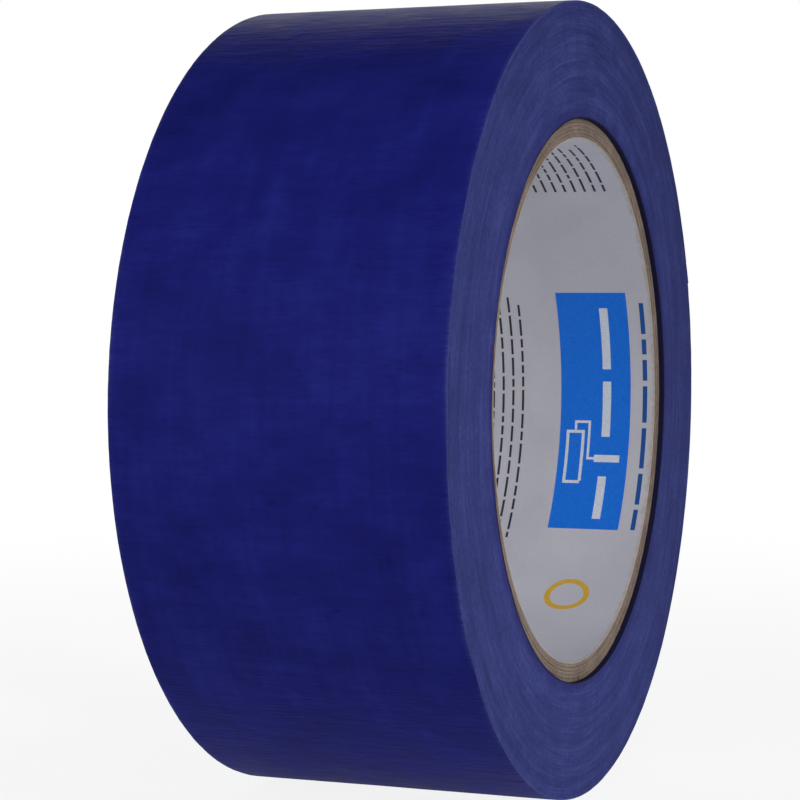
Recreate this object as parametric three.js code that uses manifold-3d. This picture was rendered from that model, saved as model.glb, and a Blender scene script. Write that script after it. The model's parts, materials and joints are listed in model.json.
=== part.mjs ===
// A roll of 48 mm masking tape on a 3 inch paper core, standing on its rim.
// Millimetres, +Z up. The roll's axis is +Y and the origin is the centre of the bore.
// Angles lie in the XZ plane, in radians, measured from +X towards +Z.
//
// The core is a spiral-wound paper tube: a printed liner and five board plies, each a strip wound
// in a helix, so each ply is a tube with one slanting butt seam. The tape is one long strip wound
// on the core in an Archimedean spiral. The last eighth of a turn is its free end, which is picked
// up and peeled back, so it is cut into short tail pieces, each hinged to the one before it.

import * as THREE from "three";
import { mergeVertices } from "three/addons/utils/BufferGeometryUtils.js";
import Module from "manifold-3d";

// Tape
const TAPE_WIDTH = 48;
const TAPE_THICKNESS = 0.13;
const ROLL_RADIUS = 58.2; // to the outside of the tape at its free end

// Core, from the bore outwards
const BORE_RADIUS = 38.4; // 3 inch cores run 76.2 to 77 mm across inside
const CORE_LENGTH = 46.6; // the core stops a little inside each side of the tape
const GLUE_LINE = 0.05; // between one ply and the next, and between the core and the tape
const LINER_THICKNESS = 0.12;
const PLY_THICKNESS = 0.49;
const PLY_NAMES = [
  "core_inner_ply",
  "core_second_ply",
  "core_middle_ply",
  "core_fourth_ply",
  "core_outer_ply",
];

// The butt seams of the core's strips
const SEAM_GAP = 0.35;
const SEAM_TWIST = (2 * Math.PI) / 140; // a seam goes once round in 140 mm of core
const SEAM_STAGGER = (2 * Math.PI) / PLY_NAMES.length; // from one ply's seam to the next
const PLY_SEAM_ANGLE = THREE.MathUtils.degToRad(40); // where the inner ply's seam is at mid-length
const LINER_SEAM_ANGLE = THREE.MathUtils.degToRad(165);
const CUTTER_MARGIN = 0.5; // how far a seam's cutter stands out past its strip
const CUTTER_STEPS = 24;

// Round pieces have 96 flats, and one of them lies level at the bottom.
const FLATS = 96;
const FLAT_ANGLE = (2 * Math.PI) / FLATS;

// Free end of the tape
const TAIL_PIECES = 12; // each as long as one flat
const TAIL_ROOT_ANGLE = 16.5 * FLAT_ANGLE; // where the tape leaves the roll when it is peeled
const TAIL_TIP_ANGLE = TAIL_ROOT_ANGLE - TAIL_PIECES * FLAT_ANGLE;
const HINGE_GAP = 0.1; // between one tail piece and the next, along the tape
const HALF_GAP_ANGLE = HINGE_GAP / 2 / ROLL_RADIUS; // half of it, as an angle
const BOND_GAP = 0.05; // between the tail and the lap under it

const LINER_FINISH = { color: 0xcccbd3, roughness: 0.5, metalness: 0 };
const BOARD_FINISH = { color: 0x8e7d71, roughness: 0.95, metalness: 0 };
const TAPE_FINISH = { color: 0x1e2269, roughness: 0.55, metalness: 0 };

const MERGE_DISTANCE = 1e-4;

const wasm = await Module();
wasm.setup();

const roll = new THREE.Group();

function addNode(name, geometry, finish) {
  const mesh = new THREE.Mesh(geometry, new THREE.MeshStandardMaterial(finish));
  mesh.name = name;
  roll.add(mesh);
}

// A closed geometry as a solid.
function toSolid(geometry) {
  const bare = geometry.clone();
  bare.deleteAttribute("normal");
  bare.deleteAttribute("uv");
  const merged = mergeVertices(bare, MERGE_DISTANCE);
  return new wasm.Manifold(
    new wasm.Mesh({
      numProp: 3,
      vertProperties: merged.attributes.position.array,
      triVerts: new Uint32Array(merged.index.array),
    }),
  );
}

// A solid as a geometry.
function toGeometry(solid) {
  const { vertProperties, triVerts } = solid.getMesh();
  const geometry = new THREE.BufferGeometry();
  geometry.setAttribute("position", new THREE.BufferAttribute(vertProperties, 3));
  geometry.setIndex(new THREE.BufferAttribute(triVerts, 1));
  geometry.computeVertexNormals();
  return geometry;
}

// A plain tube of the core's length about the roll's axis.
function tube(innerRadius, thickness) {
  const outerRadius = innerRadius + thickness;
  const end = CORE_LENGTH / 2;
  const section = [
    new THREE.Vector2(innerRadius, -end),
    new THREE.Vector2(outerRadius, -end),
    new THREE.Vector2(outerRadius, end),
    new THREE.Vector2(innerRadius, end),
    new THREE.Vector2(innerRadius, -end),
  ];
  return new THREE.LatheGeometry(section, FLATS, FLAT_ANGLE / 2);
}

// The cutter for a seam: a thin blade through the strip's thickness, from one end of the core to
// the other, which turns about the roll's axis by the twist for each millimetre along it.
function seamCutter(innerRadius, thickness, seamAngle, twist) {
  const depth = thickness + 2 * CUTTER_MARGIN;
  const length = CORE_LENGTH + 2 * CUTTER_MARGIN;
  const cutter = new THREE.BoxGeometry(depth, length, SEAM_GAP, 1, CUTTER_STEPS, 1);
  cutter.translate(innerRadius + thickness / 2, 0, 0);
  const points = cutter.attributes.position;
  const point = new THREE.Vector3();
  for (let i = 0; i < points.count; i++) {
    point.fromBufferAttribute(points, i);
    point.applyAxisAngle(THREE.Object3D.DEFAULT_UP, -(seamAngle + twist * point.y));
    points.setXYZ(i, point.x, point.y, point.z);
  }
  return cutter;
}

// One strip of the core, wound into a tube whose two edges face each other across a seam.
function woundStrip(innerRadius, thickness, seamAngle, twist) {
  const wholeTube = toSolid(tube(innerRadius, thickness));
  const cutter = toSolid(seamCutter(innerRadius, thickness, seamAngle, twist));
  return toGeometry(wholeTube.subtract(cutter));
}

// The core's liner and plies. Returns the radius that the tape is wound on.
function addCore() {
  const liner = woundStrip(BORE_RADIUS, LINER_THICKNESS, LINER_SEAM_ANGLE, 0);
  addNode("core_liner", liner, LINER_FINISH);
  let innerRadius = BORE_RADIUS + LINER_THICKNESS + GLUE_LINE;
  PLY_NAMES.forEach((name, i) => {
    const seamAngle = PLY_SEAM_ANGLE + i * SEAM_STAGGER;
    addNode(name, woundStrip(innerRadius, PLY_THICKNESS, seamAngle, SEAM_TWIST), BOARD_FINISH);
    innerRadius += PLY_THICKNESS + GLUE_LINE;
  });
  return innerRadius;
}

// The radius of the tape's outer surface at an angle, which goes on past a full turn to reach the
// laps below. It falls by one thickness in each turn, from the tip of the tail inwards.
function spiralRadius(angle) {
  return ROLL_RADIUS - (TAPE_THICKNESS * (angle - TAIL_TIP_ANGLE)) / (2 * Math.PI);
}

// A point of an outline. Outlines are drawn flat in the XY plane, and acrossTape stands them up.
function polar(radius, angle) {
  return new THREE.Vector2(radius * Math.cos(angle), radius * Math.sin(angle));
}

// An outline extruded to the tape's width, along the roll's axis.
function acrossTape(shape) {
  const geometry = new THREE.ExtrudeGeometry(shape, { depth: TAPE_WIDTH, bevelEnabled: false });
  return geometry.translate(0, 0, -TAPE_WIDTH / 2).rotateX(Math.PI / 2);
}

// Every lap of the tape but the tail. The outline starts at the tail's root, goes once round to
// the tip, and then back to the root along the lap that the tail lies on.
function addWinding(innerRadius) {
  const outline = [polar(spiralRadius(TAIL_ROOT_ANGLE), TAIL_ROOT_ANGLE + HALF_GAP_ANGLE)];
  for (let i = 1; i <= FLATS - TAIL_PIECES; i++) {
    const angle = TAIL_ROOT_ANGLE + i * FLAT_ANGLE;
    outline.push(polar(spiralRadius(angle), angle));
  }
  for (let i = 0; i < TAIL_PIECES; i++) {
    const angle = TAIL_TIP_ANGLE + 2 * Math.PI + i * FLAT_ANGLE;
    outline.push(polar(spiralRadius(angle) - BOND_GAP, angle));
  }
  const underRoot = spiralRadius(TAIL_ROOT_ANGLE + 2 * Math.PI) - BOND_GAP;
  outline.push(polar(underRoot, TAIL_ROOT_ANGLE + HALF_GAP_ANGLE));

  const bore = [];
  for (let i = 0; i < FLATS; i++) {
    bore.push(polar(innerRadius, TAIL_ROOT_ANGLE + i * FLAT_ANGLE));
  }
  const shape = new THREE.Shape(outline);
  shape.holes.push(new THREE.Path(bore));
  addNode("tape_winding", acrossTape(shape), TAPE_FINISH);
}

// The tail: short strips of tape that follow the roll, from the root down to the tip. Each one
// stops half a hinge gap short at both ends.
function addTail() {
  for (let piece = 0; piece < TAIL_PIECES; piece++) {
    const start = TAIL_ROOT_ANGLE - piece * FLAT_ANGLE - HALF_GAP_ANGLE;
    const end = TAIL_ROOT_ANGLE - (piece + 1) * FLAT_ANGLE + HALF_GAP_ANGLE;
    const outline = [
      polar(spiralRadius(start), start),
      polar(spiralRadius(end), end),
      polar(spiralRadius(end) - TAPE_THICKNESS, end),
      polar(spiralRadius(start) - TAPE_THICKNESS, start),
    ];
    const number = String(piece + 1).padStart(2, "0");
    addNode(`tape_tail_${number}`, acrossTape(new THREE.Shape(outline)), TAPE_FINISH);
  }
}

addWinding(addCore());
addTail();

export default roll;
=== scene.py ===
"""The looks of a roll of navy masking tape that stands on its rim.

Everything is in metres, in the CAD frame: the roll's axis is Y, +Z is up, and the origin is the
centre of the bore. Angles go round that axis, in radians, from +X towards +Z. Each CAD solid is
replaced by a finer mesh that keeps its place and size: the laps of tape with their uneven cut
edges, the creped outer lap, the plies of the core, the printed liner and the tape's free end.
"""

import json
import math

import bmesh
import bpy
import numpy as np
from mathutils import Matrix, Vector


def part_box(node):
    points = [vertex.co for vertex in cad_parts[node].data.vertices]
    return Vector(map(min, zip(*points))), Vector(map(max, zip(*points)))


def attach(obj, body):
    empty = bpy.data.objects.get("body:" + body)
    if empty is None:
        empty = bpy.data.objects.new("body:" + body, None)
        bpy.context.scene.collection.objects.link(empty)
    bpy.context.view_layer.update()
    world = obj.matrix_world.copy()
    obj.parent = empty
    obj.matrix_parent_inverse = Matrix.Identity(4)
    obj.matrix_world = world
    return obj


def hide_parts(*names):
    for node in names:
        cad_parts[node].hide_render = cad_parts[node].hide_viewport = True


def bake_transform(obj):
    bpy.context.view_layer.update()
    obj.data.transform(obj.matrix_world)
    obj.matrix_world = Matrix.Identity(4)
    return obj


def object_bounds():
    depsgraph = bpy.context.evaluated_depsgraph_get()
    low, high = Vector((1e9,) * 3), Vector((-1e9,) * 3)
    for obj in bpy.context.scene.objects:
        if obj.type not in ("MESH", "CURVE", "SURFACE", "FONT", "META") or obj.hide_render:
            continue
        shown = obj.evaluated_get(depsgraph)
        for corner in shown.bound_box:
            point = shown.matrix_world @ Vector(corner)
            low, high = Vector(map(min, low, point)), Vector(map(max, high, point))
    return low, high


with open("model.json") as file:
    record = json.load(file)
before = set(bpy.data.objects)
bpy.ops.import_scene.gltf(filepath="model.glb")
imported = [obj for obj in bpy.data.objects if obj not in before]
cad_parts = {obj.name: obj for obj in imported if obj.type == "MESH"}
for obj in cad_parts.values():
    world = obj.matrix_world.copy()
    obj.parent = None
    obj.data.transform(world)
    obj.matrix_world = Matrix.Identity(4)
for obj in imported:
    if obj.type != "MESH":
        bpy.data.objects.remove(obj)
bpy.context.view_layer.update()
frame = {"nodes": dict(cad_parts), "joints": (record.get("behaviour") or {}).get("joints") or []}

MM = 0.001
TURN = 2 * math.pi

# ---------------------------------------------------------------------------------------------
# Sizes, from the frame where it has them
# ---------------------------------------------------------------------------------------------

TAPE_THICKNESS = 0.13 * MM
HALF_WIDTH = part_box("tape_winding")[1].y
CORE_HALF_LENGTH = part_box("core_inner_ply")[1].y
PLIES = ["core_inner_ply", "core_second_ply", "core_middle_ply", "core_fourth_ply", "core_outer_ply"]
TAIL = sorted(name for name in frame["nodes"] if name.startswith("tape_tail"))
SEAM_TWIST = TURN / (140 * MM)  # a core seam goes once round in 140 mm
PLY_SEAM_ANGLE = math.radians(40)
LINER_SEAM_ANGLE = math.radians(165)
SEAM_GAP = 0.35 * MM  # between the two edges of one strip of the core
BOND_GAP = 0.05 * MM  # between the free end and the lap under it


def radii(node):
    """The least and greatest distance of a CAD node's corners from the roll's axis."""
    corners = np.array([v.co for v in frame["nodes"][node].data.vertices])
    distance = np.hypot(corners[:, 0], corners[:, 2])
    return distance.min(), distance.max()


def hinge(joint):
    """The angle and radius of one of the free end's hinges."""
    x, _, z = joint["pos_m"]
    return math.atan2(z, x), math.hypot(x, z)


HINGES = [hinge(joint) for joint in frame["joints"]]
ROOT_ANGLE, ROOT_RADIUS = HINGES[0]
PIECE_ANGLE = HINGES[0][0] - HINGES[1][0]
TIP_ANGLE = HINGES[-1][0] - PIECE_ANGLE
BORE_RADIUS, LINER_RADIUS = radii("core_liner")
PLY_INNER_RADIUS = (LINER_RADIUS + radii(PLIES[0])[0]) / 2  # halfway through a glue line
PLY_PITCH = radii(PLIES[1])[0] - radii(PLIES[0])[0]
TAPE_INNER_RADIUS = radii("tape_winding")[0]


def spiral_radius(angle):
    """The tape's outer radius. It falls by one thickness in each turn, from the root inwards."""
    return ROOT_RADIUS - TAPE_THICKNESS * (angle - ROOT_ANGLE) / TURN


# ---------------------------------------------------------------------------------------------
# Meshes
# ---------------------------------------------------------------------------------------------


def smooth_step(t):
    return t * t * (3 - 2 * t)


def patchy(around, across, cells_around, cells_across, seed):
    """Smooth noise from -1 to 1. around is a fraction of a turn, and the noise repeats after one;
    across goes from 0 to 1."""
    values = np.random.default_rng(seed).uniform(-1, 1, (cells_around, cells_across + 1))
    u = np.mod(around, 1) * cells_around
    v = np.clip(across, 0, 1) * cells_across
    i = np.floor(u).astype(int) % cells_around
    j = np.minimum(np.floor(v).astype(int), cells_across - 1)
    s = smooth_step(u - np.floor(u))
    t = smooth_step(v - j)
    after = (i + 1) % cells_around
    near = values[i, j] * (1 - t) + values[i, j + 1] * t
    far = values[after, j] * (1 - t) + values[after, j + 1] * t
    return near * (1 - s) + far * s


def on_roll(angle, radius, y):
    """Points from angles, radii and places along the axis, as one array."""
    angle, radius, y = np.broadcast_arrays(angle, radius, y)
    return np.stack([radius * np.cos(angle), y, radius * np.sin(angle)], axis=-1)


def quads(index):
    """The quads of a grid of vertex numbers."""
    corners = [index[:-1, :-1], index[1:, :-1], index[1:, 1:], index[:-1, 1:]]
    return np.stack(corners, axis=-1).reshape(-1, 4)


def make_piece(name, points, faces, material, sharp=35):
    """A mesh object with its normals outwards, edges sharper than the angle left sharp, and its
    resting place kept in an attribute for the materials."""
    mesh = bpy.data.meshes.new(name)
    mesh.from_pydata(points.tolist(), [], faces)
    solid = bmesh.new()
    solid.from_mesh(mesh)
    bmesh.ops.recalc_face_normals(solid, faces=solid.faces)
    solid.to_mesh(mesh)
    solid.free()
    mesh.shade_smooth()
    mesh.set_sharp_from_angle(angle=math.radians(sharp))
    rest = mesh.attributes.new("rest", "FLOAT_VECTOR", "POINT")
    rest.data.foreach_set("vector", np.array([v.co for v in mesh.vertices], np.float32).ravel())
    mesh.materials.append(material)
    piece = bpy.data.objects.new(name, mesh)
    bpy.context.scene.collection.objects.link(piece)
    return piece


def slab(front, back):
    """The points and faces of a closed sheet between two open grids of the same shape."""
    rows, columns, _ = front.shape
    top = np.arange(rows * columns).reshape(rows, columns)
    under = top + rows * columns
    faces = [quads(top), quads(under)]
    for edge, other in [(top[:, 0], under[:, 0]), (top[:, -1], under[:, -1]),
                        (top[0], under[0]), (top[-1], under[-1])]:
        faces.append(quads(np.stack([edge, other])))
    points = np.concatenate([front.reshape(-1, 3), back.reshape(-1, 3)])
    return points, np.concatenate(faces)


def swept(section, whole_turn):
    """The points and faces of a closed outline carried round the axis, as rows of points: once
    round to meet itself, or from one flat end to the other."""
    rows, columns, _ = section.shape
    index = np.arange(rows * columns).reshape(rows, columns)
    ends = [] if whole_turn else [index[0].tolist(), index[-1].tolist()]
    if whole_turn:
        index = np.concatenate([index, index[:1]])
    index = np.concatenate([index, index[:, :1]], axis=1)
    return section.reshape(-1, 3), quads(index).tolist() + ends


def towards_ends(count):
    """Places from -1 to 1 that crowd together at both ends."""
    share = np.linspace(-1, 1, count)
    return np.sign(share) * (1 - (1 - np.abs(share)) ** 1.8)


def joined(slabs):
    """Several closed sheets as one list of points and faces."""
    points, faces, count = [], [], 0
    for some_points, some_faces in slabs:
        points.append(some_points)
        faces.append(some_faces + count)
        count += len(some_points)
    return np.concatenate(points), np.concatenate(faces).tolist()


# ---------------------------------------------------------------------------------------------
# Materials
# ---------------------------------------------------------------------------------------------


class Finish:
    """A node material round one Principled shader, and the means to build its pattern."""

    def __init__(self, name, **constants):
        self.material = bpy.data.materials.new(name)
        self.material.use_nodes = True
        self.tree = self.material.node_tree
        self.tree.nodes.clear()
        self.shader = self.add("ShaderNodeBsdfPrincipled")
        output = self.add("ShaderNodeOutputMaterial")
        self.tree.links.new(self.shader.outputs[0], output.inputs[0])
        for socket, value in constants.items():
            self.shader.inputs[socket.replace("_", " ")].default_value = value
        rest = self.add("ShaderNodeAttribute", attribute_name="rest")
        self.rest = rest.outputs["Vector"]
        split = self.add("ShaderNodeSeparateXYZ", inputs=[self.rest])
        flat = self.add("ShaderNodeVectorMath", operation="MULTIPLY", inputs=[self.rest, (1, 0, 1)])
        length = self.add("ShaderNodeVectorMath", operation="LENGTH", inputs=[flat.outputs[0]])
        self.radius = length.outputs["Value"]
        self.along_axis = split.outputs["Y"]
        unit = self.add("ShaderNodeVectorMath", operation="NORMALIZE", inputs=[flat.outputs[0]])
        self.direction = unit.outputs[0]

    def add(self, kind, inputs=(), **settings):
        """A node with its settings, and its first inputs linked or set."""
        node = self.tree.nodes.new(kind)
        for key, value in settings.items():
            setattr(node, key, value)
        for socket, value in zip(node.inputs, inputs):
            if isinstance(value, bpy.types.NodeSocket):
                self.tree.links.new(value, socket)
            elif value is not None:
                socket.default_value = value
        return node

    def set(self, socket, value):
        self.tree.links.new(value, self.shader.inputs[socket])

    def math(self, operation, *values):
        return self.add("ShaderNodeMath", operation=operation, inputs=values).outputs[0]

    def noise(self, vector, detail=2.0, roughness=0.5, distortion=0.0):
        """Noise with a mean of one half, in cells one unit across."""
        node = self.add("ShaderNodeTexNoise", inputs=[vector])
        node.inputs["Scale"].default_value = 1.0
        node.inputs["Detail"].default_value = detail
        node.inputs["Roughness"].default_value = roughness
        node.inputs["Distortion"].default_value = distortion
        return node.outputs["Fac"]

    def wound(self, across, cell_around, cell_across, at_radius, **settings):
        """Noise that follows the roll round, in cells of these sizes. across is the coordinate
        that runs across them: the place along the axis, or the radius."""
        around = self.add("ShaderNodeVectorMath", operation="SCALE", inputs=[self.direction])
        around.inputs["Scale"].default_value = at_radius / cell_around
        split = self.add("ShaderNodeSeparateXYZ", inputs=[around.outputs[0]])
        beside = self.math("MULTIPLY", across, 1 / cell_across)
        vector = self.add("ShaderNodeCombineXYZ", inputs=[split.outputs[0], beside, split.outputs[2]])
        return self.noise(vector.outputs[0], **settings)

    def even(self, cell, **settings):
        """Noise in cells as long as they are wide."""
        scaled = self.add("ShaderNodeVectorMath", operation="SCALE", inputs=[self.rest])
        scaled.inputs["Scale"].default_value = 1 / cell
        return self.noise(scaled.outputs[0], **settings)

    def blend(self, *parts):
        """The weighted sum of (value, weight) pairs."""
        total = None
        for value, weight in parts:
            part = self.math("MULTIPLY", value, weight)
            total = part if total is None else self.math("ADD", total, part)
        return total

    def reach(self, value, start, end):
        """How far a value has got from start to end, from 0 to 1."""
        node = self.add("ShaderNodeMapRange", interpolation_type="SMOOTHSTEP")
        node.inputs["From Min"].default_value = start
        node.inputs["From Max"].default_value = end
        self.tree.links.new(value, node.inputs["Value"])
        return node.outputs["Result"]

    def ramp(self, value, *stops):
        """A colour or grey from (place, colour) stops."""
        node = self.add("ShaderNodeValToRGB", inputs=[value])
        ramp = node.color_ramp
        while len(ramp.elements) < len(stops):
            ramp.elements.new(0.5)
        for element, (place, colour) in zip(ramp.elements, stops):
            element.position = place
            element.color = (*colour, 1) if isinstance(colour, tuple) else (colour,) * 3 + (1,)
        return node.outputs["Color"]

    def mix(self, amount, first, second, way="MIX"):
        node = self.add("ShaderNodeMix", data_type="RGBA", blend_type=way)
        for socket, value in [(node.inputs["Factor"], amount), (node.inputs[6], first),
                              (node.inputs[7], second)]:
            if isinstance(value, bpy.types.NodeSocket):
                self.tree.links.new(value, socket)
            else:
                socket.default_value = (*value, 1) if isinstance(value, tuple) else value
        return node.outputs[2]

    def bump(self, height, depth, strength=1.0):
        node = self.add("ShaderNodeBump")
        node.inputs["Strength"].default_value = strength
        node.inputs["Distance"].default_value = depth
        self.tree.links.new(height, node.inputs["Height"])
        self.set("Normal", node.outputs["Normal"])


def crepe_finish():
    """The back of the tape: navy crepe paper under a thin release coat."""
    finish = Finish("crepe_tape", Specular_IOR_Level=0.04)
    wrinkles = finish.wound(finish.along_axis, 0.42 * MM, 3.0 * MM, ROOT_RADIUS, detail=3)
    folds = finish.wound(finish.along_axis, 1.3 * MM, 8 * MM, ROOT_RADIUS, detail=2)
    bands = finish.wound(finish.along_axis, 60 * MM, 1.1 * MM, ROOT_RADIUS, detail=3)
    cloud = finish.even(9 * MM, detail=5, roughness=0.65)
    dashes = finish.wound(finish.along_axis, 0.6 * MM, 2.4 * MM, ROOT_RADIUS - 1 * MM, detail=1)
    patches = finish.reach(finish.even(5 * MM, detail=3), 0.38, 0.64)
    tone = finish.blend((cloud, 0.55), (folds, 0.15), (bands, 0.14), (wrinkles, 0.16))
    body = finish.ramp(tone, (0.36, (0.0078, 0.0093, 0.124)), (0.5, (0.0107, 0.0133, 0.163)),
                       (0.64, (0.0155, 0.0190, 0.206)))
    # painted shade: short dark dashes, in patches, darken the crepe where its creases hold shade
    crease_shade_marks = finish.math("MULTIPLY", finish.reach(dashes, 0.60, 0.80), 0.42)
    dark = finish.math("MULTIPLY", crease_shade_marks, patches)
    crease_shaded = finish.mix(dark, body, (0.0045, 0.0050, 0.070))
    # wear and painted highlight: the back is paler along the cut edges, partly wear and partly a
    # painted highlight where the edge catches light; it is also paler where torn
    wear_and_painted_highlight = finish.add("ShaderNodeAttribute", attribute_name="wear_and_painted_highlight").outputs["Fac"]
    chafe_and_highlight = finish.math("MULTIPLY", wear_and_painted_highlight, finish.ramp(wrinkles, (0.35, 0.25), (0.65, 0.95)))
    finish.set("Base Color", finish.mix(chafe_and_highlight, crease_shaded, (0.085, 0.100, 0.300)))
    finish.set("Roughness", finish.ramp(finish.blend((wrinkles, 0.5), (cloud, 0.5)),
                                        (0.3, 0.40), (0.7, 0.58)))
    strength = finish.math("ADD", finish.math("MULTIPLY", patches, 0.6), 0.4)
    creped = finish.math("MULTIPLY", wrinkles, strength)
    finish.bump(finish.blend((creped, 0.55), (folds, 0.45)), 0.19 * MM)
    return finish.material


def cut_edge_finish():
    """The side of the roll: the cut edges of the laps, paler and duller than the tape's back,
    darkest next to the core, where painted shade fills the crevice against the core, and paler at
    the rim from wear and a painted highlight."""
    finish = Finish("tape_edges", Specular_IOR_Level=0.06)
    laps = finish.wound(finish.radius, 9 * MM, 0.22 * MM, 0.05, detail=2)
    groups = finish.wound(finish.radius, 26 * MM, 1.4 * MM, 0.05, detail=4, roughness=0.6)
    cloud = finish.even(6 * MM, detail=6, roughness=0.68)
    specks = finish.even(0.7 * MM, detail=3, roughness=0.6)
    tone = finish.blend((laps, 0.25), (groups, 0.25), (cloud, 0.29), (specks, 0.21))
    body = finish.ramp(tone, (0.37, (0.028, 0.033, 0.155)), (0.5, (0.045, 0.056, 0.230)),
                       (0.63, (0.078, 0.097, 0.330)))
    wander = finish.math("MULTIPLY", finish.math("SUBTRACT", cloud, 0.5), 6 * MM)
    place = finish.math("ADD", finish.radius, wander)
    inner = finish.reach(place, 43.6 * MM, 41.3 * MM)
    dark = finish.mix(finish.math("MULTIPLY", inner, 0.55), body, (0.028, 0.028, 0.165))
    # painted shade: near black within half a millimetre of the core, standing in for the shade in the
    # gap against the recessed core
    painted_crevice_shade = finish.reach(finish.math("ADD", finish.radius, finish.math("MULTIPLY", specks, 0.3 * MM)),
                           TAPE_INNER_RADIUS + 0.5 * MM, TAPE_INNER_RADIUS + 0.15 * MM)
    dark = finish.mix(painted_crevice_shade, dark, (0.016, 0.016, 0.052))
    # paler at the rim: wear, and a painted highlight where the corner catches light
    rim = finish.reach(finish.math("ADD", finish.radius, finish.math("MULTIPLY", specks, 0.5 * MM)),
                       57.9 * MM, 58.45 * MM)
    wear_and_painted_highlight = finish.mix(finish.math("MULTIPLY", rim, 0.55), dark, (0.115, 0.130, 0.380))
    finish.set("Base Color", wear_and_painted_highlight)
    finish.set("Roughness", finish.ramp(cloud, (0.3, 0.7), (0.7, 0.85)))
    finish.bump(finish.blend((laps, 0.35), (specks, 0.4), (groups, 0.25)), 0.16 * MM)
    return finish.material


def adhesive_finish():
    """The underside of the tape: the same paper seen through a skin of clear adhesive."""
    finish = Finish("tape_adhesive", Specular_IOR_Level=0.4)
    mottle = finish.even(1.6 * MM, detail=3)
    fine = finish.wound(finish.along_axis, 0.4 * MM, 2.4 * MM, ROOT_RADIUS, detail=2)
    tone = finish.blend((mottle, 0.6), (fine, 0.4))
    finish.set("Base Color", finish.ramp(tone, (0.3, (0.016, 0.021, 0.125)),
                                         (0.7, (0.036, 0.044, 0.200))))
    finish.set("Roughness", finish.ramp(mottle, (0.3, 0.28), (0.7, 0.42)))
    finish.bump(tone, 0.03 * MM, 0.6)
    return finish.material


def board_finish():
    """Core board: grey-tan recycled fibre, rough where it is cut."""
    finish = Finish("core_board", Specular_IOR_Level=0.2)
    fibres = finish.wound(finish.radius, 0.9 * MM, 0.13 * MM, 0.04, detail=3)
    cloud = finish.even(5 * MM, detail=3)
    lumps = finish.even(0.45 * MM, detail=3)
    tone = finish.blend((fibres, 0.35), (cloud, 0.4), (lumps, 0.25))
    body = finish.ramp(tone, (0.32, (0.16, 0.115, 0.092)), (0.5, (0.27, 0.205, 0.165)),
                       (0.68, (0.40, 0.315, 0.255)))
    into_ply = finish.math("SUBTRACT", finish.radius, PLY_INNER_RADIUS)
    from_glue = finish.math("PINGPONG", into_ply, PLY_PITCH / 2)
    glue = finish.math("MULTIPLY", finish.reach(from_glue, 0.1 * MM, 0.02 * MM), 0.45)
    finish.set("Base Color", finish.mix(glue, body, (0.10, 0.070, 0.052)))
    finish.set("Roughness", finish.ramp(cloud, (0.3, 0.85), (0.7, 0.98)))
    finish.bump(finish.blend((fibres, 0.5), (lumps, 0.5)), 0.12 * MM, 0.9)
    return finish.material


def liner_finish():
    """The core's liner: white coated paper."""
    finish = Finish("liner_paper", Specular_IOR_Level=0.3)
    cloud = finish.even(11 * MM, detail=3)
    grain = finish.even(0.5 * MM, detail=3)
    tone = finish.blend((cloud, 0.7), (grain, 0.3))
    white = finish.ramp(tone, (0.3, (0.56, 0.555, 0.62)), (0.7, (0.65, 0.645, 0.70)))
    stray = finish.math("SUBTRACT", finish.even(1.1 * MM, detail=3), 0.5)
    fuzz = finish.math("MULTIPLY", stray, 1.6 * MM)
    from_middle = finish.math("ADD", finish.math("ABSOLUTE", finish.along_axis), fuzz)
    edge = finish.reach(from_middle, CORE_HALF_LENGTH - 0.9 * MM, CORE_HALF_LENGTH + 0.1 * MM)
    finish.set("Base Color", finish.mix(edge, white, (0.52, 0.46, 0.40)))
    finish.set("Roughness", finish.ramp(grain, (0.3, 0.42), (0.7, 0.58)))
    finish.bump(finish.blend((grain, 0.5), (cloud, 0.5)), 0.03 * MM, 0.5)
    return finish.material


def ink_finish(name, colour):
    """Printing ink, a little uneven where it took to the paper."""
    finish = Finish("ink_" + name, Specular_IOR_Level=0.3)
    grain = finish.even(0.35 * MM, detail=2)
    pale = tuple(min(1.0, channel * 1.15 + 0.008) for channel in colour)
    finish.set("Base Color", finish.ramp(grain, (0.35, colour), (0.75, pale)))
    finish.set("Roughness", finish.ramp(grain, (0.3, 0.4), (0.7, 0.55)))
    finish.bump(grain, 0.01 * MM, 0.5)
    return finish.material


CREPE = crepe_finish()
CUT_EDGE = cut_edge_finish()
ADHESIVE = adhesive_finish()
BOARD = board_finish()
LINER = liner_finish()

# ---------------------------------------------------------------------------------------------
# The winding
# ---------------------------------------------------------------------------------------------

LAP_STATIONS = 720
SIDE_SAMPLES = 58
OUTER_LAP_STATIONS = 1000
ACROSS_SAMPLES = 41


def side_relief(angle, radius, seed):
    """How far the cut edges lie inside the roll's side: bands of laps that were wound a little
    in or out, a finer ripple, and looser laps next to the core."""
    turn = angle / TURN
    depth = (radius - TAPE_INNER_RADIUS) / (ROOT_RADIUS - TAPE_INNER_RADIUS)
    dished = patchy(turn, depth, 5, 3, seed) * 0.05 * MM
    bands = patchy(turn, depth, 9, 22, seed + 1) * 0.022 * MM
    ripple = patchy(turn, depth, 31, 54, seed + 2) * 0.012 * MM
    near_core = np.exp(-depth / 0.045)
    loose = patchy(turn, depth, 7, 57, seed + 3) * 0.09 * MM * near_core
    return np.maximum(0.075 * MM + dished + bands + ripple + loose, 0.005 * MM)


def bond(angle):
    """How far the laps under the free end are pressed down to make room for the bond."""
    under_tip = TIP_ANGLE + TURN
    return BOND_GAP * smooth_step(np.clip((angle - under_tip) / math.radians(0.4), 0, 1))


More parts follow.
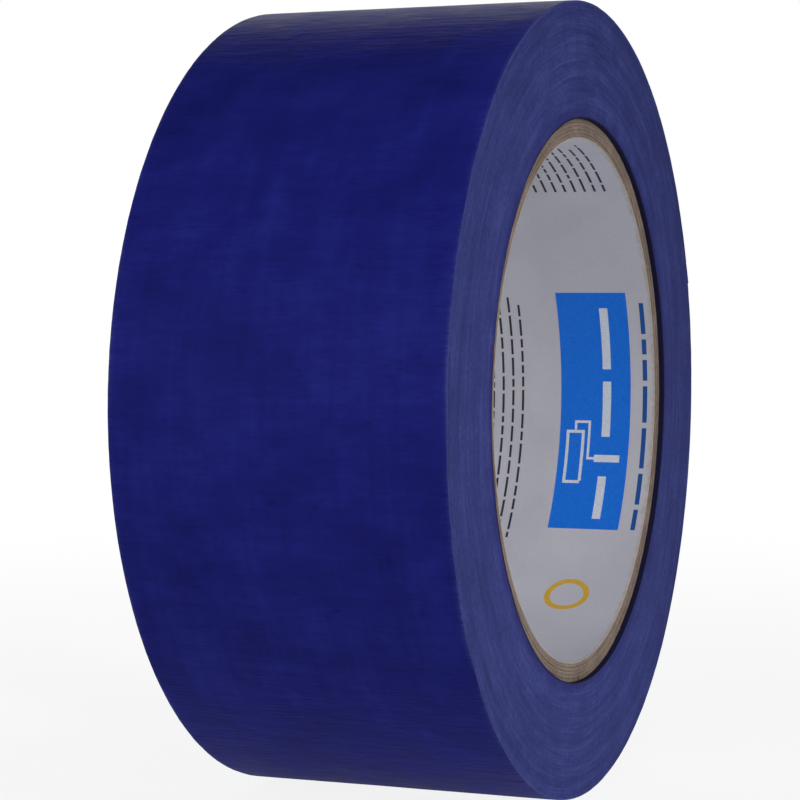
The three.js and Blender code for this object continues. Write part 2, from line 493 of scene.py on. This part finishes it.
def build_winding():
    """The laps under the outer one, as a ring whose sides show their uneven cut edges."""
    angle = ROOT_ANGLE + np.linspace(0, TURN, LAP_STATIONS, endpoint=False)[:, None]
    outside = spiral_radius(angle) - TAPE_THICKNESS - bond(angle)
    even = np.linspace(0, 1, SIDE_SAMPLES)
    share = 0.35 * smooth_step(even) + 0.65 * even
    radius = TAPE_INNER_RADIUS + (outside - TAPE_INNER_RADIUS) * share[None, :]
    front = on_roll(angle, radius, -HALF_WIDTH + side_relief(angle, radius, 11))
    back = on_roll(angle, radius, HALF_WIDTH - side_relief(angle, radius, 21))
    section = np.concatenate([front, back[:, ::-1]], axis=1)
    piece = make_piece("winding_laps", *swept(section, whole_turn=True), CUT_EDGE)
    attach(piece, "roll")
    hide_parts("tape_winding")


def crepe(angle, y):
    """The height of the tape's back above a plain sheet: fine folds across the tape, broad soft
    ones, and faint bands along it where it was wound more tightly."""
    turn = angle / TURN
    across = (y + HALF_WIDTH) / (2 * HALF_WIDTH)
    folds = patchy(turn, across, 400, 9, 31) * 0.016 * MM
    waves = patchy(turn, across, 130, 5, 32) * 0.016 * MM
    bands = patchy(turn, across, 9, 26, 33) * 0.006 * MM
    return folds + waves + bands


def ragged_edge(angle, seed):
    """How far the cut edge of one lap strays along the axis."""
    turn = angle / TURN
    half = np.full_like(turn, 0.5)
    return (patchy(turn, half, 23, 1, seed) * 2 + patchy(turn, half, 260, 1, seed + 1)) * 0.015 * MM


def tape_sheet(name, angle, lift, torn=0.0):
    """A stretch of tape along the spiral at these angles, one row for each: creped on its back,
    with its adhesive side a thickness below, and its cut edges slightly ragged and rounded. Its
    back is paler along the cut edges, from wear and from a painted highlight where the edge
    catches light, and where it is torn."""
    share = towards_ends(ACROSS_SAMPLES)
    half = HALF_WIDTH - 0.02 * MM
    stray = np.where(share < 0, ragged_edge(angle, 41), ragged_edge(angle, 43))
    y = share * half + np.abs(share) ** 12 * stray
    from_edge = (1 - np.abs(share)) * half
    rounding = 0.03 * MM * np.exp(-from_edge / (0.1 * MM))
    outside = spiral_radius(angle) + lift
    front = on_roll(angle, outside + crepe(angle, y) - rounding, y)
    back = on_roll(angle, outside - TAPE_THICKNESS + crepe(angle, y) * 0.5, y)
    points, faces = slab(front, back)
    piece = make_piece(name, points, faces.tolist(), CREPE)
    paint_sides(piece)
    # paler along the cut edges: wear, and a painted highlight where the edge catches light
    chafe_and_highlight = 0.5 + 0.5 * patchy(angle / TURN, np.full(angle.shape, 0.5), 90, 1, 47)
    pale = np.maximum(chafe_and_highlight * np.exp(-from_edge / (0.22 * MM)), torn) + np.zeros(y.shape)
    wear_and_painted_highlight = piece.data.attributes.new("wear_and_painted_highlight", "FLOAT", "POINT")
    front_and_back = np.concatenate([pale.ravel(), np.zeros(pale.size)])
    wear_and_painted_highlight.data.foreach_set("value", front_and_back.astype(np.float32))
    return piece


def paint_sides(piece):
    """Gives a stretch of tape its adhesive material underneath and its edge material all round."""
    piece.data.materials.append(ADHESIVE)
    piece.data.materials.append(CUT_EDGE)
    for face in piece.data.polygons:
        outward = Vector((face.center.x, 0, face.center.z)).normalized()
        facing = face.normal.dot(outward)
        if facing < -0.5:
            face.material_index = 1
        elif facing < 0.5:
            face.material_index = 2


def build_outer_lap():
    """The last whole lap, which the free end lies on."""
    angle = np.linspace(ROOT_ANGLE, ROOT_ANGLE + TURN, OUTER_LAP_STATIONS)[:, None]
    piece = tape_sheet("winding_outer_lap", angle, lift=-bond(angle))
    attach(piece, "roll")
    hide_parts("tape_winding")


build_winding()
build_outer_lap()

# ---------------------------------------------------------------------------------------------
# The free end
# ---------------------------------------------------------------------------------------------

STATION = 0.16 * MM  # from one row of the free end's mesh to the next
ROOT_STATION = 0.07 * MM
ROOT_BEND = 1.0 * MM  # the length of tape that bends where it leaves the roll
TIP_LIFT = 0.2 * MM
TIP_LIFT_LENGTH = math.radians(8)
TEAR = 0.9 * MM  # how far the torn end strays along the tape
TEAR_FADE = 4  # the powers by which the tear and the lift die away from the tip
LIFT_FADE = 2.5
TORN_EDGE = 0.5 * MM  # how much of the tape is pale where it is torn


def torn_line():
    """How far the torn end strays, from 0 to 1, for each place across the tape."""
    across = np.linspace(0, 0.5, ACROSS_SAMPLES)[None, :]
    middle = np.full(across.shape, 0.5)
    return 0.5 + 0.32 * patchy(across, middle, 9, 1, 81) + 0.18 * patchy(across, middle, 60, 1, 82)


def tail_strip(node, reach, bend, station):
    """A stretch of the free end, laid on the spiral at rest. reach and bend are the angles where
    the stretch and its bend begin and end; the ends of the bend are worked out but not used."""
    rows = math.ceil((reach[0] - reach[1]) * ROOT_RADIUS / station) + 1
    even = np.linspace(*reach, rows)[:, None]
    loose = np.clip(1 - (even - TIP_ANGLE) / TIP_LIFT_LENGTH, 0, 1)
    torn = np.clip(1 - (even - TIP_ANGLE) * ROOT_RADIUS / TORN_EDGE, 0, 1)
    angle = even + torn_line() * TEAR / ROOT_RADIUS * loose ** TEAR_FADE
    piece = tape_sheet(node + "_strip", angle, TIP_LIFT * loose ** LIFT_FADE, torn)
    start, end = [tuple(on_roll(place, spiral_radius(place), 0.0)) for place in bend]
    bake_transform(piece)
    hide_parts(node)


def build_tail():
    """The free end, one stretch for each hinge, laid on the spiral at rest: the first from where it
    leaves the roll, each of the others from the middle of one piece to the middle of the next. The
    last one is torn off unevenly, and its end has come a little loose."""
    middles = [angle - PIECE_ANGLE / 2 for angle, _ in HINGES]
    tail_strip(TAIL[0], (ROOT_ANGLE, middles[0]),
               (ROOT_ANGLE, ROOT_ANGLE - ROOT_BEND / ROOT_RADIUS), ROOT_STATION)
    for number in range(1, len(TAIL)):
        bend = middles[number - 1], middles[number]
        end = TIP_ANGLE if number == len(TAIL) - 1 else middles[number]
        tail_strip(TAIL[number], (bend[0], end), bend, STATION)


build_tail()

# ---------------------------------------------------------------------------------------------
# The core
# ---------------------------------------------------------------------------------------------

CORE_STATIONS = 540
CORE_ROWS = 25
END_SAMPLES = 6


def frayed(angle, depth, amount, seed):
    """How far the cut end of a ply lies inside the core's length, over its thickness."""
    turn = angle / TURN
    broad = patchy(turn, depth, 14, 1, seed) * 0.4
    fine = patchy(turn, depth, 150, 3, seed + 1) * 0.35
    fuzz = patchy(turn, depth, 270, 5, seed + 2) * 0.25
    worn_corners = (2 * depth - 1) ** 4 * 0.4
    return (1 + broad + fine + fuzz + worn_corners) * amount


def wound_strip(name, node, seam_angle, twist, inset, fray, seed, material):
    """One strip of the core: a tube cut by one seam that may slant, with frayed ends."""
    inner, outer = radii(node)
    side = towards_ends(CORE_ROWS)
    across = np.linspace(0, 1, END_SAMPLES)[1:-1]
    depth = np.concatenate([0 * side, across, 0 * side + 1, across[::-1]])[None, :]
    along = np.concatenate([side, 0 * across + 1, side[::-1], 0 * across - 1])[None, :]
    gap = SEAM_GAP / outer
    round_core = np.linspace(gap / 2, TURN - gap / 2, CORE_STATIONS)[:, None]
    angle = seam_angle + twist * along * CORE_HALF_LENGTH + round_core
    shift = np.where(along > 0, 0.5, 0)  # so that the two ends differ
    cut = inset + frayed(angle + shift, depth, fray, seed)
    y = along * CORE_HALF_LENGTH - np.sign(along) * np.abs(along) ** 24 * cut
    section = on_roll(angle, outer + (inner - outer) * depth, y)
    piece = make_piece(name, *swept(section, whole_turn=False), material)
    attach(piece, "roll")
    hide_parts(node)


def build_core():
    wound_strip("liner_paper", "core_liner", LINER_SEAM_ANGLE, 0, 0.06 * MM, 0.05 * MM, 51,
                LINER)
    insets = [0.03, 0.0, 0.05, 0.01, 0.06]
    for number, node in enumerate(PLIES):
        seam = PLY_SEAM_ANGLE + number * TURN / len(PLIES)
        wound_strip(node + "_board", node, seam, SEAM_TWIST, insets[number] * MM, 0.07 * MM,
                    61 + 10 * number, BOARD)


build_core()

# ---------------------------------------------------------------------------------------------
# The print on the liner, which is generic: a plain panel with a paint roller, a plain ring, and
# dashes in place of words. It is laid out flat, in millimetres: s runs round the bore, upwards
# from +X, and y along the roll's axis.
# ---------------------------------------------------------------------------------------------

INK_HEIGHT = 0.008 * MM
INK_ROOT = 0.02 * MM
INK_STEP = 0.8  # the longest chord of a printed edge


def refine(rail):
    """The points of a line, with more put in where they are far apart."""
    fine = [rail[0]]
    for start, end in zip(rail[:-1], rail[1:]):
        steps = max(1, math.ceil(math.dist(start, end) / INK_STEP))
        fine += [tuple(np.add(start, np.subtract(end, start) * k / steps)) for k in range(1, steps + 1)]
    return np.array(fine)


def print_shape(one_edge, other_edge, layer=1):
    """A printed shape between two edges with as many points each, as a thin closed sheet."""
    rails = np.stack([one_edge, other_edge], axis=1)
    angle = rails[..., 0] * MM / BORE_RADIUS
    y = rails[..., 1] * MM
    return slab(on_roll(angle, BORE_RADIUS - INK_HEIGHT * layer, y),
                on_roll(angle, BORE_RADIUS + INK_ROOT, y))


def bar(s_low, s_high, y_low, y_high, layer=1):
    rail = refine([(s_low, 0.0), (s_high, 0.0)])
    return print_shape(rail + (0, y_low), rail + (0, y_high), layer)


def stroke(points, width, layer=1):
    """A printed line of even width through points, with mitred corners."""
    path = refine(points)
    run = np.diff(path, axis=0)
    run /= np.linalg.norm(run, axis=1, keepdims=True)
    before = np.concatenate([run[:1], run])
    after = np.concatenate([run, run[-1:]])
    middle = before + after
    middle /= np.linalg.norm(middle, axis=1, keepdims=True)
    mitre = 1 / np.maximum((middle * after).sum(axis=1, keepdims=True), 0.5)
    aside = np.stack([-middle[:, 1], middle[:, 0]], axis=1) * mitre * width / 2
    return print_shape(path - aside, path + aside, layer)


def printed(name, shapes, material):
    points, faces = joined(shapes)
    piece = make_piece(name, points, faces, material)
    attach(piece, "roll")


def dashes(rng, s_start, s_end, middle, height, lengths, gap, layer=1):
    """A row of plain dashes where a line of words would be. lengths is the range of their
    lengths, and gap is what lies between two of them."""
    shapes = []
    s = s_start
    while s + lengths[0] < s_end:
        end = min(s + rng.uniform(*lengths), s_end)
        shapes.append(bar(s, end, middle - height / 2, middle + height / 2, layer))
        s = end + gap
    return shapes


PANEL_S = (-23.5, 16.3)
PANEL_Y = (-19.2, -7.4)
PANEL_BARS = [(-21.6, -14.2), (-7.6, 1.4), (3.4, 13.6)]
PANEL_BAR_Y = (-15.9, -14.5)


def build_panel():
    """A blue panel with three plain bars and a paint roller on it."""
    printed("print_panel", [bar(*PANEL_S, *PANEL_Y)], ink_finish("panel", (0.001, 0.175, 0.80)))
    signs = [bar(*span, *PANEL_BAR_Y, layer=2) for span in PANEL_BARS]
    signs.append(stroke([(-15.2, -11.4), (-15.2, -8.8), (-6.8, -8.8), (-6.8, -11.4), (-15.0, -11.4)],
                        0.5, layer=2))
    signs.append(stroke([(-6.5, -10.1), (-5.2, -10.1), (-5.2, -12.4), (-11.2, -12.4), (-11.2, -13.5)],
                        0.42, layer=2))
    signs.append(bar(-11.8, -10.6, -17.8, -13.5, layer=2))
    printed("print_panel_signs", signs, ink_finish("white", (0.70, 0.76, 0.85)))


def build_print_lines():
    """A row of dark blue dashes beside the panel, and two blocks of fine dark dashes."""
    rng = np.random.default_rng(71)
    row = dashes(rng, -23.4, 16.5, -21.6, 0.75, (2.2, 8.0), 0.9)
    printed("print_blue_dashes", row, ink_finish("dark_blue", (0.006, 0.085, 0.33)))
    fine = []
    for k in range(6):
        start = -26.0 + rng.uniform(0, 2)
        fine += dashes(rng, start, 17.6 - rng.uniform(0, 4), -0.8 + 1.7 * k, 0.38, (0.9, 3.6), 0.55)
    for k in range(8):
        fine += dashes(rng, 37.0, 54.6 - rng.uniform(0, 4), -19.8 + 1.6 * k, 0.38, (0.9, 3.6), 0.55)
    printed("print_fine_dashes", fine, ink_finish("black", (0.022, 0.022, 0.032)))


RING_S, RING_Y = -37.1, -13.8
RING_INNER, RING_OUTER = 2.7, 3.6
RING_STEPS = 72


def build_ring():
    """A plain yellow ring."""
    turn = np.linspace(0, TURN, RING_STEPS + 1)
    edges = [np.stack([RING_S + size * np.sin(turn), RING_Y + size * np.cos(turn)], axis=1)
             for size in (RING_INNER, RING_OUTER)]
    printed("print_ring", [print_shape(*edges)], ink_finish("yellow", (0.72, 0.42, 0.03)))


build_panel()
build_print_lines()
build_ring()

# ---------------------------------------------------------------------------------------------
# Camera, floor and light
# ---------------------------------------------------------------------------------------------

CAMERA_AZIMUTH = math.radians(-68.1)
CAMERA_ELEVATION = math.radians(2.5)
CAMERA_LENS = 111.7
CAMERA_DISTANCE = 364.5 * MM  # from the middle of the roll's near side
ASIDE = 27.5 * MM  # how far that point lies right of the camera's aim
BELOW = 0.1 * MM


def build_camera():
    camera = bpy.data.objects.new("camera", bpy.data.cameras.new("camera"))
    camera.data.lens = CAMERA_LENS
    camera.data.clip_start = 0.01
    camera.data.clip_end = 20
    away = Vector((math.sin(CAMERA_AZIMUTH) * math.cos(CAMERA_ELEVATION),
                   -math.cos(CAMERA_AZIMUTH) * math.cos(CAMERA_ELEVATION),
                   math.sin(CAMERA_ELEVATION)))
    right = Vector((math.cos(CAMERA_AZIMUTH), math.sin(CAMERA_AZIMUTH), 0))
    up = away.cross(right)
    target = Vector((0, -HALF_WIDTH, 0))
    place = target + away * CAMERA_DISTANCE - right * ASIDE + up * BELOW
    camera.matrix_world = Matrix.Translation(place) @ Matrix((right, up, away)).transposed().to_4x4()
    bpy.context.scene.collection.objects.link(camera)
    bpy.context.scene.camera = camera


FLOOR_GLOW = 0.34
FLOOR_HALF_WIDTH = 3.0


def build_floor():
    """A pale floor that fades into the white surroundings. It glows a little, as a light table
    does, and is seen almost white, but lights the roll no more than its glow does."""
    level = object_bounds()[0].z
    half = FLOOR_HALF_WIDTH
    corners = np.array([(-half, -half, level), (half, -half, level),
                        (half, half, level), (-half, half, level)])
    finish = Finish("floor", Roughness=0.9, Specular_IOR_Level=0.1)
    grain = finish.even(3 * MM, detail=3)
    finish.set("Base Color", finish.ramp(grain, (0.3, 0.84), (0.7, 0.89)))
    glow = finish.add("ShaderNodeEmission", inputs=[(1, 1, 1, 1), FLOOR_GLOW])
    lit = finish.add("ShaderNodeAddShader", inputs=[finish.shader.outputs[0], glow.outputs[0]])
    white = finish.add("ShaderNodeEmission", inputs=[(1, 1, 1, 1), 1.0])
    far = finish.add("ShaderNodeVectorMath", operation="LENGTH", inputs=[finish.rest]).outputs["Value"]
    near = finish.ramp(finish.reach(far, 0.06, 0.45), (0.0, 0.80), (1.0, 1.0))
    seen = finish.math("MULTIPLY", near, finish.add("ShaderNodeLightPath").outputs["Is Camera Ray"])
    mixed = finish.add("ShaderNodeMixShader", inputs=[seen, lit.outputs[0], white.outputs[0]])
    output = next(node for node in finish.tree.nodes if node.type == "OUTPUT_MATERIAL")
    finish.tree.links.new(mixed.outputs[0], output.inputs[0])
    make_piece("floor", corners, [(0, 1, 2, 3)], finish.material)


def add_softbox(name, azimuth, elevation, distance, size, power):
    """A square soft light that faces the roll."""
    lamp = bpy.data.lights.new(name, "AREA")
    lamp.shape = "SQUARE"
    lamp.size = size
    lamp.energy = power
    a, e = math.radians(azimuth), math.radians(elevation)
    place = Vector((math.sin(a) * math.cos(e), -math.cos(a) * math.cos(e), math.sin(e))) * distance
    holder = bpy.data.objects.new(name, lamp)
    holder.matrix_world = Matrix.Translation(place) @ place.to_track_quat("Z", "Y").to_matrix().to_4x4()
    bpy.context.scene.collection.objects.link(holder)


def add_spot(name, azimuth, elevation, distance, aim, cone, power):
    """A spotlight with a soft edge, aimed at a height on the roll."""
    lamp = bpy.data.lights.new(name, "SPOT")
    lamp.spot_size = math.radians(cone)
    lamp.spot_blend = 1.0
    lamp.shadow_soft_size = 0.06
    lamp.energy = power
    a, e = math.radians(azimuth), math.radians(elevation)
    back = Vector((math.sin(a) * math.cos(e), -math.cos(a) * math.cos(e), math.sin(e)))
    holder = bpy.data.objects.new(name, lamp)
    place = Vector((0, 0, aim)) + back * distance
    holder.matrix_world = Matrix.Translation(place) @ back.to_track_quat("Z", "Y").to_matrix().to_4x4()
    bpy.context.scene.collection.objects.link(holder)


def build_light():
    """White all round to look at, but dim as a light, with soft lights on stands."""
    world = bpy.data.worlds.new("studio")
    world.use_nodes = True
    tree = world.node_tree
    tree.nodes.clear()
    seen = tree.nodes.new("ShaderNodeBackground")
    seen.inputs["Color"].default_value = (1, 1, 1, 1)
    light = tree.nodes.new("ShaderNodeBackground")
    light.inputs["Color"].default_value = (0.97, 0.98, 1.0, 1)
    light.inputs["Strength"].default_value = 0.1
    path = tree.nodes.new("ShaderNodeLightPath")
    mix = tree.nodes.new("ShaderNodeMixShader")
    output = tree.nodes.new("ShaderNodeOutputWorld")
    tree.links.new(path.outputs["Is Camera Ray"], mix.inputs[0])
    tree.links.new(light.outputs[0], mix.inputs[1])
    tree.links.new(seen.outputs[0], mix.inputs[2])
    tree.links.new(mix.outputs[0], output.inputs[0])
    bpy.context.scene.world = world
    add_softbox("rear", -140, 20, 0.9, 0.6, 0.75)
    add_softbox("front_top", -40, 55, 0.9, 0.6, 1.3)
    add_softbox("back", 116, 24, 0.9, 0.45, 1.1)
    add_spot("left_spot", -95, 10, 0.9, 16 * MM, 8, 16.5)
    add_spot("front_spot", -45, 20, 0.9, -12 * MM, 8, 11.6)
    add_spot("side_spot", -15, 20, 0.9, -16 * MM, 9, 15.0)
    bpy.context.scene.view_settings.view_transform = "Standard"


build_camera()
build_floor()
build_light()
